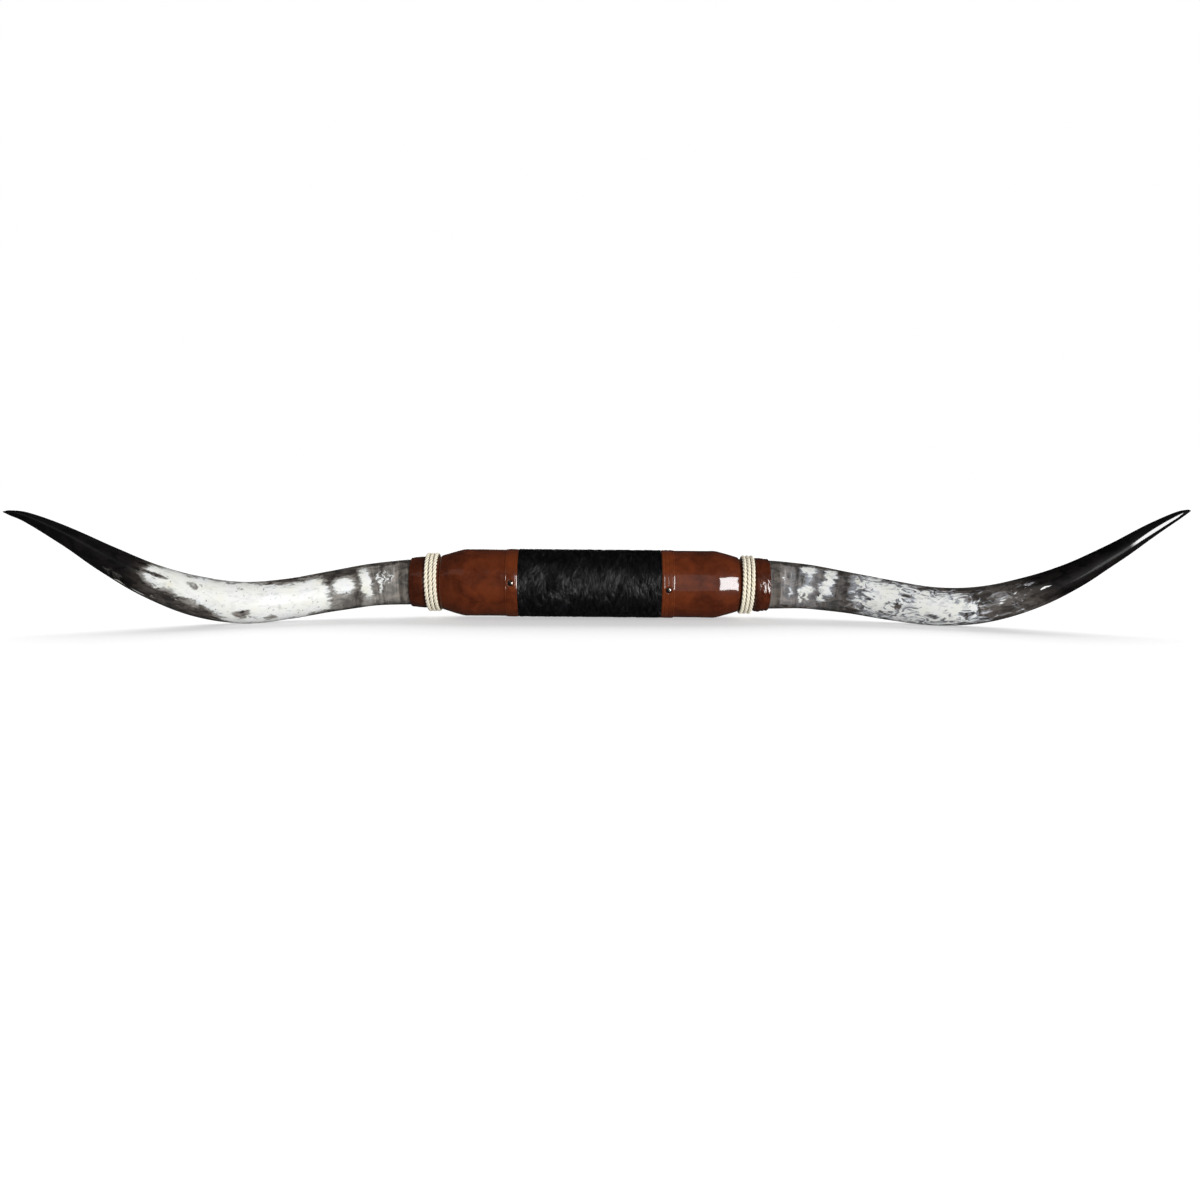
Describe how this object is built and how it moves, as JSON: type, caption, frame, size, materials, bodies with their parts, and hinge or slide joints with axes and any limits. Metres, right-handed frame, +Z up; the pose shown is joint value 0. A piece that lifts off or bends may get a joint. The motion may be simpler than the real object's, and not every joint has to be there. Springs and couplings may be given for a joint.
{
  "type": "mounted longhorn horns",
  "caption": "Pair of polished steer horns mounted on a round core dressed with hide, leather and rope, for display on a wall or shelf.",
  "frame": {"origin": "on the surface that the horns stand on, below the middle of the object's box", "axes": "+X towards the right horn's tip, +Y towards the hanger at the back, +Z up"},
  "size_m": [1.7023, 0.2054, 0.1744],
  "materials": {
    "polished_horn": "polished natural horn, cream and grey with black tips",
    "turned_wood": "bare",
    "black_hide": "hair-on hide, short sleek hair",
    "brown_leather": "smooth and glossy",
    "nickel_steel": "nickel plated",
    "cream_rope": "twisted cotton"
  },
  "bodies": {
    "root": {"horn_left": "polished_horn", "horn_right": "polished_horn", "wood_core": "turned_wood", "hide_wrap": "black_hide", "leather_sleeve_left": "brown_leather", "leather_sleeve_right": "brown_leather", "strap_left": "brown_leather", "strap_right": "brown_leather", "strap_tack_left": "nickel_steel", "strap_tack_right": "nickel_steel", "rope_left": "cream_rope", "rope_right": "cream_rope", "hanger_plate": "nickel_steel", "hanger_nail_left": "nickel_steel", "hanger_nail_right": "nickel_steel"}
  },
  "joints": []
}
